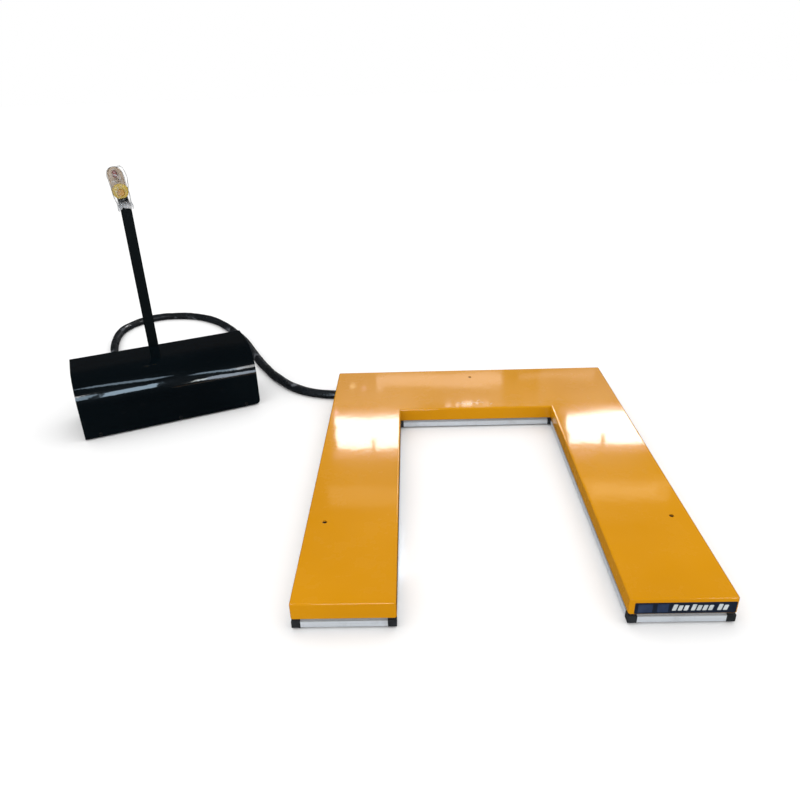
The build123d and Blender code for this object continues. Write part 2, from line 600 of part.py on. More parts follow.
def make_pack_cover():
    cover = plate_x(cover_outline(0), 0, PACK_LENGTH)
    cover -= plate_x(cover_outline(COVER_SHEET), COVER_SHEET, PACK_LENGTH - COVER_SHEET)
    # The front sheet's lower right corner is cut round.
    corner_u = PACK_LENGTH - COVER_CORNER_R
    corner_z = COVER_BOTTOM + COVER_CORNER_R
    scrap = block(corner_u, PACK_LENGTH + 1, -1, COVER_SHEET + 30, COVER_BOTTOM - 1, corner_z)
    cover -= scrap - bar_v(corner_u, -2, COVER_SHEET + 31, corner_z, COVER_CORNER_R)
    screws = []
    for u, z in SCREW_SPOTS:
        cover -= bar_v(u, -1, COVER_SHEET + 1, z, SCREW_R + 0.2)
        screws.append(bar_v(u, -2.2, 0, z, SCREW_HEAD_R) + bar_v(u, 0, 12, z, SCREW_R))
    add_pack("pack_cover", cover)
    add_pack("cover_screws", *screws)

    # Vented back panel, set just inside the cover's rear edge.
    u0, u1 = COVER_SHEET + 0.5, PACK_LENGTH - COVER_SHEET - 0.5
    top = PACK_HEIGHT - COVER_SHEET - 0.5
    panel = block(u0, u1, PACK_DEPTH - 4, PACK_DEPTH - 2, 11.5, top)
    for row in range(6):
        z = VENT_START_Z + row * VENT_PITCH
        panel -= block(*VENT_U, PACK_DEPTH - 5, PACK_DEPTH, z, z + VENT_HEIGHT)
    panel -= bar_v(OUTLET_U, PACK_DEPTH - 5, PACK_DEPTH, OUTLET_Z, 12)
    panel -= bar_v(INLET_U, PACK_DEPTH - 5, PACK_DEPTH, INLET_Z, 8 + RUNNING_GAP)
    add_pack("pack_back_panel", panel)


def make_pack_chassis():
    reach = (3, PACK_LENGTH - 3)
    tray = block(*reach, 4, PACK_DEPTH - 5, TRAY_BOTTOM, TRAY_FLOOR)
    tray += block(*reach, 4, 7, TRAY_FLOOR, 36)
    tray += block(*reach, PACK_DEPTH - 8, PACK_DEPTH - 5, TRAY_FLOOR, 30)
    tongue = block(POST_U - 35, POST_U + 35, PACK_DEPTH - 8, POST_V + 30, TRAY_BOTTOM, TRAY_FLOOR)
    tray += tongue
    tray -= bar_v(OUTLET_U, PACK_DEPTH - 12, PACK_DEPTH, OUTLET_Z, 12)
    for u, z in SCREW_SPOTS:
        tray -= bar_v(u, 3, 8, z, SCREW_R + RUNNING_GAP)
    add_pack("pack_tray", tray)
    add_pack("pack_feet", *[bar_z(u, v, 0, TRAY_BOTTOM, FOOT_R) for u, v in FOOT_SPOTS])

    tank = fillet(block(30, 250, 50, 225, TRAY_FLOOR, 185).edges().filter_by(Axis.Z), 20)
    add_pack("oil_tank", tank)
    add_pack("oil_filler_cap", bar_z(90, 110, 185, 203, 20) + bar_z(90, 110, 203, 209, 14))
    add_pack("pump_block", block(250, 318, 85, 190, 40, 160))
    motor = bar_x(*MOTOR_U, MOTOR_V, MOTOR_Z, MOTOR_R)
    motor += block(350, 490, MOTOR_V - 47, MOTOR_V + 47, TRAY_FLOOR, 60) - motor
    add_pack("motor", motor)
    fan_cover = bar_x(MOTOR_U[1], FAN_COVER_END, MOTOR_V, MOTOR_Z, MOTOR_R + 2)
    add_pack("motor_fan_cover", fillet(fan_cover.edges().filter_by(GeomType.CIRCLE)[-1:], 8))
    coil = bar_z(VALVE_U, MOTOR_V, 160, 205, 17)
    add_pack("solenoid_valve", coil + bar_z(VALVE_U, MOTOR_V, 205, 212, 9))
    add_pack("electrical_box", block(590, 690, 60, 235, 20, 190))

    # Steel pipe from the pump block to the outlet, then the outlet gland.
    route = [(300, 190, OUTLET_Z + 10), (300, 238, OUTLET_Z + 10), (OUTLET_U, 238, OUTLET_Z)]
    path = FilletPolyline(*route, radius=14)
    pipe = sweep(Plane(path @ 0, z_dir=path % 0) * Circle(5), path=path)
    add_pack("pressure_pipe", pipe)
    gland = bar_v(OUTLET_U, 243, OUTLET_REACH, OUTLET_Z, 11)
    gland += bar_v(OUTLET_U, PACK_DEPTH - 2, PACK_DEPTH + 10, OUTLET_Z, 22)
    gland += bar_v(OUTLET_U, PACK_DEPTH + 10, OUTLET_REACH, OUTLET_Z, 19)
    add_pack("pack_hose_gland", gland)
    inlet = bar_v(INLET_U, PACK_DEPTH - 10, PACK_DEPTH + 16, INLET_Z, 8)
    inlet += bar_v(INLET_U, PACK_DEPTH - 2, PACK_DEPTH + 8, INLET_Z, 13)
    add_pack("mains_inlet", inlet)


def make_post():
    half = POST_SIZE / 2
    height = POST_TOP - TRAY_FLOOR
    tube = Box(POST_SIZE, POST_SIZE, height)
    tube = fillet(tube.edges().filter_by(Axis.Z), 3)
    tube -= Box(POST_SIZE - 2 * POST_WALL, POST_SIZE - 2 * POST_WALL, height)
    add_pack("control_post", Pos(POST_U, POST_V, TRAY_FLOOR + height / 2) * tube)
    # Clamp plate between the post and the back panel.
    clamp = block(POST_U - 45, POST_U + 45, PACK_DEPTH - 2, POST_V - half, 180, 220)
    add_pack("post_clamp", clamp)
    bolts = [bar_v(POST_U + side * 34, POST_V - half, POST_V - half + 5, 200, 7) for side in (-1, 1)]
    add_pack("post_clamp", *bolts)


# ---- Control head, in a frame that leans to the pack's left, with z = 0 at the post's top -----
# Its face, with the buttons, looks the same way as the pack's front, towards -v.
HEAD = PACK * Pos(POST_U, POST_V, POST_TOP) * Rot(0, -HEAD_TILT, 0)
BODY_Z = 67.0
BODY_FACE_V = -24.0
HOUSING_FACE_V = -22.0
STOP_Z = 61.0
SMALL_BUTTONS = {
    "up_button": (132.0, 12.0, 7.5),
    "down_button": (106.5, 0.01, 6.0),
}


def slab_v(outline, face_v, depth):
    """Outline in the u-z plane, as a solid that stands forwards of face_v."""
    return extrude(Plane.XZ.offset(-face_v) * outline, amount=depth)


def shell_v(outline, half_depth, edge_r):
    """Moulded half-shell pair: an outline in the u-z plane, as deep as 2 * half_depth."""
    solid = slab_v(outline, half_depth, 2 * half_depth)
    faces = solid.faces().sort_by(Axis.Y)
    return fillet(faces[0].edges() + faces[-1].edges(), edge_r)


def push_button(outline, z, face_v, stem_r, travel, cap_depth):
    """Button cap and stem that stand in front of a face at face_v."""
    back = face_v - travel - 0.6
    cap = slab_v(Pos(0, z) * outline, back, cap_depth)
    cap = fillet(cap.faces().sort_by(Axis.Y)[0].edges(), cap_depth * 0.6)
    return cap + bar_v(0, back, face_v + 8, z, stem_r)


def upright_slot(length, radius):
    return Rot(0, 0, 90) * SlotCenterToCenter(length, 2 * radius)


def make_head():
    body = shell_v(Pos(0, BODY_Z) * RectangleRounded(59, 60, 27), -BODY_FACE_V, 8)
    neck = Pos(0, 0, 3) * (block(-23, 23, -23, 23, 0, 8) + bar_z(0, 0, 0, 47, 20))
    add("control_post", HEAD * (neck - body))
    outline = Pos(0, 104) * Rectangle(54, 48) + Pos(0, 128) * Circle(27)
    housing = shell_v(outline, -HOUSING_FACE_V, 6) - body

    collar = Pos(0, STOP_Z) * (Circle(18) - Circle(14.5))
    body += slab_v(collar, BODY_FACE_V, 2.5)
    body -= bar_v(0, BODY_FACE_V - 1, BODY_FACE_V + 12, STOP_Z, 6)
    add("control_body", HEAD * body)
    stop = push_button(Circle(13.5), STOP_Z, BODY_FACE_V, 5.5, 2.5, 7)
    add("stop_button", HEAD * stop)

    for name, (z, length, radius) in SMALL_BUTTONS.items():
        housing -= bar_v(0, HOUSING_FACE_V - 1, HOUSING_FACE_V + 10, z, 5)
        ring = upright_slot(length, radius + 2.5) - upright_slot(length, radius + 0.9)
        add("button_rings", HEAD * slab_v(Pos(0, z) * ring, HOUSING_FACE_V, 2))
        cap = upright_slot(length, radius)
        add(name, HEAD * push_button(cap, z, HOUSING_FACE_V, 4.5, 1.5, 6))
    add("control_housing", HEAD * housing)

    # Clear film bag over the head: a rounded shell, open at the bottom.
    def bag_form(gap, low):
        form = block(-33 + gap, 33 - gap, -38 + gap, 31 - gap, low, 158 - gap)
        form = fillet(form.edges().filter_by(Axis.Z), 20 - gap)
        return fillet(form.faces().sort_by(Axis.Z)[-1].edges(), 18 - gap)

    add("clear_bag", HEAD * (bag_form(0, -8) - bag_form(0.8, -10)))


# ---- Hose sleeve ------------------------------------------------------------------------------
def pack_point(u, v, z):
    return (PACK * Pos(u, v, z)).position


def make_hose():
    outlet = pack_point(OUTLET_U, OUTLET_REACH, OUTLET_Z)
    lead_out = pack_point(OUTLET_U, OUTLET_REACH + HOSE_LEAD_OUT, OUTLET_Z)
    floor = SLEEVE_FLOOR_Z
    route = [
        (HOSE_TABLE_X, HOSE_Y, floor),
        (-632, HOSE_Y, floor),
        (-760, 705, floor),
        (-880, 845, floor),
        (-1000, 1050, floor),
        (-1110, 1300, floor),
        (-1265, 1545, floor),
        (-1395, 1690, floor),
        (-1560, 1765, floor),
        (-1745, 1745, floor),
        (-1862, 1597, floor),
        (-1845, 1398, floor),
        (-1760, 1163, floor),
        (-1655, 958, floor),
        lead_out,
        outlet,
    ]
    points = [Vector(*point) for point in route]
    radii = []
    for before, corner, after in zip(points, points[1:], points[2:]):
        first = corner - before
        second = after - corner
        half_turn = math.radians(first.get_angle(second)) / 2
        cut = HOSE_BEND_SHARE * min(first.length, second.length)
        radii.append(cut / math.tan(half_turn))
    path = FilletPolyline(*points, radius=radii)
    start = Plane(path @ 0, z_dir=path % 0)
    add("hose_sleeve", sweep(start * Circle(SLEEVE_R), path=path))
    print("hose length", round(path.length))


make_platform()
make_trip_frame()
make_inner_scissors()
make_outer_scissors()
make_rollers()
make_cylinders()
make_base()
make_pack_cover()
make_pack_chassis()
make_post()
make_head()
make_hose()

os.makedirs("parts", exist_ok=True)
for name, pieces in nodes.items():
    solids = []
    for piece in pieces:
        solids.extend(piece.solids())
    shape = solids[0] if len(solids) == 1 else Compound(children=solids)
    export_step(shape, "parts/" + name + ".step")
print(len(nodes), "nodes; lift angle", round(TOP_ANGLE - REST_ANGLE, 4), "degrees")
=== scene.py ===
import json
import math
import random

import bpy
from mathutils import Matrix, Vector, noise


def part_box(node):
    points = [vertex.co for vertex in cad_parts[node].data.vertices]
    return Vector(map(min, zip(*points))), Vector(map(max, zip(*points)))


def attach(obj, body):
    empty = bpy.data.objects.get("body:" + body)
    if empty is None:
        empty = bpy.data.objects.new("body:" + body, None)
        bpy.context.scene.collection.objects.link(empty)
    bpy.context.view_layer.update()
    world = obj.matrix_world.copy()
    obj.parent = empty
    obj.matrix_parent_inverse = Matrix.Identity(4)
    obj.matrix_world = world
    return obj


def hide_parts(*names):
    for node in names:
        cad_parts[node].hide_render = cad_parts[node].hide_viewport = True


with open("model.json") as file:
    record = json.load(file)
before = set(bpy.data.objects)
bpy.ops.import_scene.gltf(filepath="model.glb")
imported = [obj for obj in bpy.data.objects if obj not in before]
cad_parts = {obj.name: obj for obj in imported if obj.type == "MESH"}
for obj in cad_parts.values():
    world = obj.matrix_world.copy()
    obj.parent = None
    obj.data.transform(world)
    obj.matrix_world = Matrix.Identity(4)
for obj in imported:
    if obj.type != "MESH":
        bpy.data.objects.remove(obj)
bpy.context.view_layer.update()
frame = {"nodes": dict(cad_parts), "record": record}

scene = bpy.context.scene
NODES = frame["nodes"]
SLOT_OF = {part["node"]: part["material_slot"] for part in frame["record"]["subparts"]}

# The power pack's own frame, u along it and v to its back, and the control head's on the post's top.
# Turns are in degrees.
PACK_PLACE, PACK_TURN = (-1.546, 0.304, 0.0), 25.0
POST_TOP, HEAD_LEAN = (0.335, 0.287, 0.830), -7.0
PACK = Matrix.Translation(PACK_PLACE) @ Matrix.Rotation(math.radians(PACK_TURN), 4, "Z")
HEAD = PACK @ Matrix.Translation(POST_TOP) @ Matrix.Rotation(math.radians(HEAD_LEAN), 4, "Y")
DECK_TOP = 0.085


# ---- Camera -----------------------------------------------------------------------------------
CAMERA_PLACE = (-0.2331, -2.0685, 1.3189)
CAMERA_YAW, CAMERA_PITCH, CAMERA_ROLL = -0.026, 0.457, -0.034
CAMERA_LENS, CAMERA_SENSOR = 31.087, 36.0


def make_camera():
    """The photo's camera, fitted to the deck's corners: yaw, pitch down and roll are in radians."""
    level = math.cos(CAMERA_PITCH)
    forward = Vector(
        (math.sin(CAMERA_YAW) * level, math.cos(CAMERA_YAW) * level, -math.sin(CAMERA_PITCH))
    )
    right = Vector((math.cos(CAMERA_YAW), -math.sin(CAMERA_YAW), 0.0))
    up = right.cross(forward)
    x_axis = math.cos(CAMERA_ROLL) * right + math.sin(CAMERA_ROLL) * up
    y_axis = math.cos(CAMERA_ROLL) * up - math.sin(CAMERA_ROLL) * right
    turn = Matrix((x_axis, y_axis, -forward)).transposed().to_4x4()
    data = bpy.data.cameras.new("camera")
    data.sensor_width = CAMERA_SENSOR
    data.lens = CAMERA_LENS
    camera = bpy.data.objects.new("camera", data)
    camera.matrix_world = Matrix.Translation(CAMERA_PLACE) @ turn
    scene.collection.objects.link(camera)
    scene.camera = camera


# ---- Node materials ---------------------------------------------------------------------------
class Surface:
    """A Principled material with short calls for the nodes that feed it."""

    def __init__(self, name, **sockets):
        self.material = bpy.data.materials.new(name)
        self.material.use_nodes = True
        self.tree = self.material.node_tree
        self.bsdf = self.tree.nodes["Principled BSDF"]
        coords = self.tree.nodes.new("ShaderNodeTexCoord")
        self.coords = coords.outputs["Object"]
        for socket, value in sockets.items():
            self.bsdf.inputs[socket.replace("_", " ")].default_value = value

    def node(self, kind, links=(), **settings):
        """New node: links gives a socket, or a constant, for each of its inputs."""
        made = self.tree.nodes.new("ShaderNode" + kind)
        for key, value in settings.items():
            setattr(made, key, value)
        for socket, value in dict(links).items():
            if isinstance(value, bpy.types.NodeSocket):
                self.tree.links.new(value, made.inputs[socket])
            else:
                made.inputs[socket].default_value = value
        return made

    def to(self, socket, value):
        self.tree.links.new(value, self.bsdf.inputs[socket])

    def stretched(self, scale):
        return self.node("Mapping", {"Vector": self.coords, "Scale": scale}).outputs["Vector"]

    def noise(self, scale, detail=3.0, rough=0.5, vector=None, distortion=0.0):
        links = {"Scale": scale, "Detail": detail, "Roughness": rough, "Distortion": distortion}
        links["Vector"] = vector or self.coords
        return self.node("TexNoise", links).outputs["Fac"]

    def ramp(self, factor, *stops):
        """Colour ramp: each stop is a position with a colour, or with one value for a grey."""
        made = self.node("ValToRGB", {"Fac": factor})
        elements = made.color_ramp.elements
        while len(elements) < len(stops):
            elements.new(1.0)
        for element, (position, colour) in zip(elements, stops):
            element.position = position
            if not isinstance(colour, tuple):
                colour = (colour, colour, colour)
            element.color = (*colour, 1.0)
        return made.outputs["Color"]

    def mix(self, factor, first, second):
        return self.node("MixRGB", {"Fac": factor, "Color1": first, "Color2": second}).outputs["Color"]

    def math(self, operation, first, second):
        return self.node("Math", {0: first, 1: second}, operation=operation).outputs[0]

    def edges(self, radius, low, high):
        """White along sharp edges, broken up by noise."""
        soft = self.node("Bevel", {"Radius": radius}, samples=4)
        hard = self.node("NewGeometry")
        dot = self.node(
            "VectorMath", {0: soft.outputs["Normal"], 1: hard.outputs["Normal"]}, operation="DOT_PRODUCT"
        )
        gap = self.math("SUBTRACT", 1.0, dot.outputs["Value"])
        patches = self.ramp(self.noise(60.0, 5.0, 0.7), (0.35, 0.0), (0.6, 1.6))
        return self.ramp(self.math("MULTIPLY", gap, patches), (low, 0.0), (high, 1.0))

    def bumps(self, *layers):
        """Each layer is a height socket, its depth in metres, and a strength."""
        normal = None
        for height, depth, strength in layers:
            bump = self.node("Bump", {"Height": height, "Distance": depth, "Strength": strength})
            if normal is not None:
                self.tree.links.new(normal, bump.inputs["Normal"])
            normal = bump.outputs["Normal"]
        self.to("Normal", normal)


def painted(
    name, dark, light, chip, gloss, wear=(0.05, 0.25), coat=0.5, specular=0.5, dust=0.1, ripple=0.0007
):
    """Sprayed enamel: colour drift, orange peel, slow waves of the sheet, dust, and chipped edges."""
    wave, wave_strength = 0.004, 0.35
    s = Surface(name, Coat_Weight=coat, Coat_Roughness=0.055, Specular_IOR_Level=specular)
    drift = s.ramp(s.noise(2.2, 3.0), (0.3, dark), (0.72, light))
    specks = s.ramp(s.noise(38.0, 6.0, 0.7), (0.60, 0.0), (0.80, dust))
    colour = s.mix(specks, drift, (0.45, 0.42, 0.38, 1.0))
    edge = s.edges(0.0016, *wear)
    s.to("Base Color", s.mix(edge, colour, (*chip, 1.0)))
    smudge = s.ramp(s.noise(9.0, 5.0, 0.65), (0.35, gloss), (0.75, gloss + 0.14))
    s.to("Roughness", s.mix(edge, smudge, (0.55, 0.55, 0.55, 1.0)))
    peel = s.noise(420.0, 2.0)
    slow = s.noise(3.5, 1.0, 0.3)
    s.bumps((slow, wave, wave_strength), (peel, 0.00006, 0.22))
    # The clear coat follows the waves and shallow dents, but not the orange peel.
    waves = s.node("Bump", {"Height": slow, "Distance": wave, "Strength": wave_strength})
    dents = s.node("Bump", {"Height": s.noise(38.0, 2.0), "Distance": ripple, "Strength": 0.10})
    s.tree.links.new(waves.outputs["Normal"], dents.inputs["Normal"])
    s.to("Coat Normal", dents.outputs["Normal"])
    return s.material


def bare_metal(name, dark, light, rough, stretch=(1.0, 1.0, 1.0), metallic=1.0):
    """Machined or drawn metal: fine lines along one direction, grime, and dulled patches."""
    s = Surface(name, Metallic=metallic)
    lines = s.noise(240.0, 4.0, 0.6, vector=s.stretched(stretch))
    patches = s.noise(14.0, 5.0, 0.6)
    colour = s.ramp(lines, (0.3, dark), (0.7, light))
    dirt = s.ramp(patches, (0.56, 0.0), (0.78, 0.55))
    s.to("Base Color", s.mix(dirt, colour, (0.06, 0.05, 0.045, 1.0)))
    s.to("Roughness", s.ramp(patches, (0.3, rough), (0.8, rough + 0.22)))
    s.bumps((lines, 0.00012, 0.3), (s.noise(900.0, 2.0), 0.00004, 0.2))
    return s.material


def plastic(name, dark, light, rough, coat=0.0):
    """Moulded plastic: fine leather-like grain, colour drift, handling marks and paler edges."""
    s = Surface(name, Coat_Weight=coat, Coat_Roughness=0.15)
    drift = s.ramp(s.noise(26.0, 4.0), (0.3, dark), (0.7, light))
    marks = s.ramp(s.noise(90.0, 6.0, 0.75), (0.6, 0.0), (0.8, 0.25))
    pale = tuple(0.75 * c + 0.06 for c in light)
    worn = s.mix(marks, drift, (*pale, 1.0))
    s.to("Base Color", s.mix(s.edges(0.0009, 0.05, 0.3), worn, (*pale, 1.0)))
    s.to("Roughness", s.ramp(s.noise(40.0, 4.0), (0.3, rough), (0.75, rough + 0.2)))
    s.bumps((s.noise(1400.0, 3.0), 0.00012, 0.35), (s.noise(60.0, 2.0), 0.0004, 0.12))
    return s.material


def rubber(name):
    """Dull moulded rubber with grey dust in its grain."""
    s = Surface(name, Specular_IOR_Level=0.3)
    dust = s.ramp(s.noise(70.0, 6.0, 0.7), (0.4, (0.014, 0.014, 0.015)), (0.75, (0.07, 0.065, 0.06)))
    s.to("Base Color", dust)
    s.to("Roughness", s.ramp(s.noise(50.0, 4.0), (0.3, 0.65), (0.7, 0.9)))
    s.bumps((s.noise(800.0, 3.0), 0.0002, 0.4), (s.noise(120.0, 2.0), 0.0005, 0.2))
    return s.material


def sleeve_film(name):
    """Black plastic wrap: glossy, creased, scuffed grey where it lay on the floor, with pale patches that
    are painted highlights on its facets.
    """
    s = Surface(name, Coat_Weight=0.6, Coat_Roughness=0.10, Specular_IOR_Level=0.5)
    scuffs = s.ramp(s.noise(34.0, 7.0, 0.72, distortion=0.6), (0.55, 0.0), (0.78, 0.5))
    base = s.ramp(s.noise(12.0, 3.0), (0.3, (0.004, 0.006, 0.008)), (0.7, (0.010, 0.013, 0.017)))
    rubbed = s.mix(scuffs, base, (0.06, 0.065, 0.07, 1.0))
    # Pale patches over the wrap are painted highlights, standing in for light caught on its facets.
    faces = s.ramp(s.noise(13.0, 4.0, 0.55, distortion=0.8), (0.60, 0.0), (0.66, 0.8))
    s.to("Base Color", s.mix(faces, rubbed, (0.13, 0.14, 0.16, 1.0)))
    s.to("Roughness", s.ramp(s.noise(28.0, 5.0, 0.6), (0.35, 0.22), (0.7, 0.5)))
    creases = s.noise(55.0, 6.0, 0.65, distortion=1.4)
    s.bumps((creases, 0.004, 0.5), (s.noise(700.0, 3.0), 0.0002, 0.3))
    return s.material


def clear_film(name):
    """Thin wrinkled film: nearly clear face on, milky where it folds and along its outline."""
    s = Surface(name, Roughness=0.16, Specular_IOR_Level=0.8, Coat_Weight=0.4, Coat_Roughness=0.05)
    folds = s.noise(30.0, 3.0, 0.55, distortion=1.6)
    milk = s.ramp(folds, (0.48, 0.01), (0.62, 0.10), (0.72, 0.55))
    facing = s.node("LayerWeight", {"Blend": 0.35}).outputs["Facing"]
    outline = s.ramp(facing, (0.48, 0.0), (0.92, 0.80))
    height = s.node("SeparateXYZ", {"Vector": s.coords}).outputs["Z"]
    hem = s.ramp(height, (0.835, 0.42), (0.862, 0.0))
    s.to("Alpha", s.math("MAXIMUM", s.math("MAXIMUM", milk, outline), hem))
    pale = s.ramp(s.noise(20.0, 3.0), (0.3, (0.45, 0.47, 0.50)), (0.7, (0.72, 0.73, 0.75)))
    s.to("Base Color", s.mix(outline, pale, (0.05, 0.055, 0.06, 1.0)))
    s.to("Roughness", s.ramp(folds, (0.3, 0.10), (0.7, 0.32)))
    s.bumps((folds, 0.003, 0.6), (s.noise(110.0, 2.0), 0.0006, 0.2))
    return s.material


def printed_film(name, dark, light, rough=0.28):
    """Smooth printed film, and pale film that paints glints: faint colour drift and fine grain."""
    s = Surface(name, Coat_Weight=0.3, Coat_Roughness=0.2)
    s.to("Base Color", s.ramp(s.noise(45.0, 5.0, 0.6), (0.3, dark), (0.7, light)))
    s.to("Roughness", s.ramp(s.noise(80.0, 4.0), (0.3, rough), (0.7, rough + 0.2)))
    s.bumps((s.noise(500.0, 2.0), 0.0001, 0.25), (s.noise(30.0, 2.0), 0.0008, 0.15))
    return s.material


def aluminium_rail(name):
    """Anodised extrusion: die lines along the rail, pale, with grey handling marks, and painted shade on
    its upper step.
    """
    s = Surface(name, Metallic=0.35, Specular_IOR_Level=0.6)
    lines = s.noise(160.0, 3.0, 0.6, vector=s.stretched((0.02, 0.02, 9.0)))
    marks = s.ramp(s.noise(11.0, 6.0, 0.7), (0.52, 0.0), (0.78, 0.5))
    pale = s.ramp(lines, (0.3, (0.72, 0.78, 0.85)), (0.7, (0.86, 0.91, 0.96)))
    height = s.node("SeparateXYZ", {"Vector": s.coords}).outputs["Z"]
    # Above about 26 mm, the upper step that sits up under the deck's skirt is painted darker grey: painted
    # shade.
    upper_painted_shade = s.ramp(height, (0.0255, 0.0), (0.0268, 0.75))
    worn = s.mix(marks, pale, (0.42, 0.43, 0.45, 1.0))
    s.to("Base Color", s.mix(upper_painted_shade, worn, (0.24, 0.24, 0.23, 1.0)))
    s.to("Roughness", s.ramp(s.noise(22.0, 4.0), (0.3, 0.30), (0.7, 0.48)))
    s.bumps((lines, 0.0002, 0.4), (s.noise(800.0, 2.0), 0.00005, 0.2))
    return s.material


MATERIALS = {
    "deck_paint": painted(
        "deck_paint", (0.560, 0.235, 0.0015), (0.625, 0.270, 0.003), (0.20, 0.085, 0.02), 0.20,
        wear=(0.10, 0.40), coat=1.0, specular=0.05, dust=0.01,
    ),
    "dark_frame_paint": painted(
        "dark_frame_paint", (0.020, 0.020, 0.022), (0.040, 0.040, 0.042), (0.20, 0.18, 0.16), 0.42, coat=0.1
    ),
    "bright_steel": bare_metal(
        "bright_steel", (0.42, 0.42, 0.43), (0.66, 0.66, 0.66), 0.26, stretch=(0.05, 1.0, 1.0)
    ),
    "chromed_rod": bare_metal(
        "chromed_rod", (0.74, 0.75, 0.76), (0.86, 0.86, 0.87), 0.08, stretch=(1.0, 0.05, 1.0)
    ),
    "bronze_bush": bare_metal(
        "bronze_bush", (0.42, 0.25, 0.10), (0.62, 0.42, 0.19), 0.30, stretch=(0.1, 1.0, 1.0)
    ),
    "black_gloss_paint": painted(
        "black_gloss_paint", (0.0008, 0.0022, 0.0034), (0.0015, 0.0038, 0.0055), (0.06, 0.06, 0.06), 0.22,
        wear=(0.15, 0.6), coat=0.8, specular=0.03, dust=0.012, ripple=0.0022,
    ),
    "black_satin_paint": painted(
        "black_satin_paint", (0.0010, 0.0024, 0.0028), (0.0022, 0.0042, 0.0048), (0.10, 0.095, 0.09), 0.46,
        coat=0.0, specular=0.05, dust=0.015,
    ),
    "rail_aluminium": aluminium_rail("rail_aluminium"),
    "motor_aluminium": bare_metal(
        "motor_aluminium", (0.32, 0.33, 0.34), (0.5, 0.5, 0.51), 0.42, metallic=0.9
    ),
    "black_plastic": plastic("black_plastic", (0.012, 0.015, 0.017), (0.028, 0.034, 0.040), 0.38),
    "pack_rubber": rubber("pack_rubber"),
    "label_film": printed_film("label_film", (0.004, 0.010, 0.026), (0.008, 0.017, 0.038)),
    "label_blue": printed_film("label_blue", (0.010, 0.026, 0.075), (0.022, 0.045, 0.11), 0.35),
    "label_pale": printed_film("label_pale", (0.42, 0.47, 0.48), (0.62, 0.66, 0.67), 0.35),
    # Painted glints: pale marks that stand in for small reflections of light on the bridge.
    "painted_glint": printed_film("painted_glint", (0.86, 0.70, 0.60), (0.95, 0.86, 0.80), 0.4),
    "grey_plastic": plastic("grey_plastic", (0.27, 0.20, 0.135), (0.40, 0.31, 0.22), 0.42),
    "yellow_plastic": plastic(
        "yellow_plastic", (0.40, 0.27, 0.006), (0.50, 0.35, 0.016), 0.36, coat=0.1
    ),
    "red_plastic": plastic("red_plastic", (0.14, 0.030, 0.022), (0.24, 0.060, 0.045), 0.32, coat=0.3),
    "amber_plastic": plastic("amber_plastic", (0.36, 0.165, 0.002), (0.44, 0.22, 0.004), 0.40),
    "clear_film": clear_film("clear_film"),
    "sleeve_wrap": sleeve_film("sleeve_wrap"),
}


def dress(piece, slot):
    """Give a piece one of the finishes, whatever slots its mesh has."""
    if not piece.material_slots:
        piece.data.materials.append(None)
    for holder in piece.material_slots:
        holder.link = "OBJECT"
        holder.material = MATERIALS[slot]


def make_piece(name, body, slot, vertices, faces, smooth=True):
    """New mesh piece, drawn in the row frame, that rides on a body."""
    mesh = bpy.data.meshes.new(name)
    mesh.from_pydata([tuple(v) for v in vertices], [], faces)
    mesh.validate()
    mesh.update()
    if smooth:
        mesh.shade_smooth()
    else:
        mesh.shade_flat()
    piece = bpy.data.objects.new(name, mesh)
    scene.collection.objects.link(piece)
    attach(piece, body)
    mesh.materials.append(MATERIALS[slot])
    return piece


def rings_to_mesh(rings, closed_ends=True):
    """Vertices and faces of a tube through rings of equal point counts."""
    count = len(rings[0])
    vertices = [point for ring in rings for point in ring]
    faces = []
    for i in range(len(rings) - 1):
        for j in range(count):
            k = (j + 1) % count
            faces.append((i * count + j, i * count + k, (i + 1) * count + k, (i + 1) * count + j))
    if closed_ends:
        faces.append(tuple(reversed(range(count))))
        last = (len(rings) - 1) * count
        faces.append(tuple(range(last, last + count)))
    return vertices, faces


# ---- Hose sleeve ------------------------------------------------------------------------------
HOSE_START = (-0.546, 0.646, 0.0173)
HOSE_ROUTE = [
    HOSE_START,
    (-0.632, 0.646, 0.0173),
    (-0.760, 0.705, 0.0173),
    (-0.880, 0.845, 0.0173),
    (-1.000, 1.050, 0.0173),
    (-1.110, 1.300, 0.0173),
    (-1.265, 1.545, 0.0173),
    (-1.395, 1.690, 0.0173),
    (-1.560, 1.765, 0.0173),
    (-1.745, 1.745, 0.0173),
    (-1.862, 1.597, 0.0173),
    (-1.845, 1.398, 0.0173),
    (-1.760, 1.163, 0.0173),
    (-1.655, 0.958, 0.0173),
    (-1.5489, 0.7882, 0.045),
    (-1.4855, 0.6522, 0.045),
]
SLEEVE_R = 0.017
SLEEVE_SIDES = 30
SLEEVE_STEP = 0.005
SLEEVE_LOWEST = 0.0006
CUFF_R = SLEEVE_R * 0.97
CUFF_RINGS = 8


def hose_line():
    """Points of the hose's NURBS spline."""
    curve = bpy.data.curves.new("hose_line", "CURVE")
    curve.dimensions = "3D"
    spline = curve.splines.new("NURBS")
    spline.points.add(len(HOSE_ROUTE) - 1)
    for point, place in zip(spline.points, HOSE_ROUTE):
        point.co = (*place, 1.0)
    spline.order_u = 3
    spline.use_endpoint_u = True
    spline.resolution_u = 40
    holder = bpy.data.objects.new("hose_line", curve)
    mesh = bpy.data.meshes.new_from_object(holder)
    line = [vertex.co.copy() for vertex in mesh.vertices]
    bpy.data.objects.remove(holder)
    return line


def even_points(line, step):
    """The line's points, thinned to even spacing."""
    points = [line[0]]
    for point in line[1:]:
        if (point - points[-1]).length >= step:
            points.append(point)
    if (line[-1] - points[-1]).length > step * 0.3:
        points.append(line[-1])
    return points


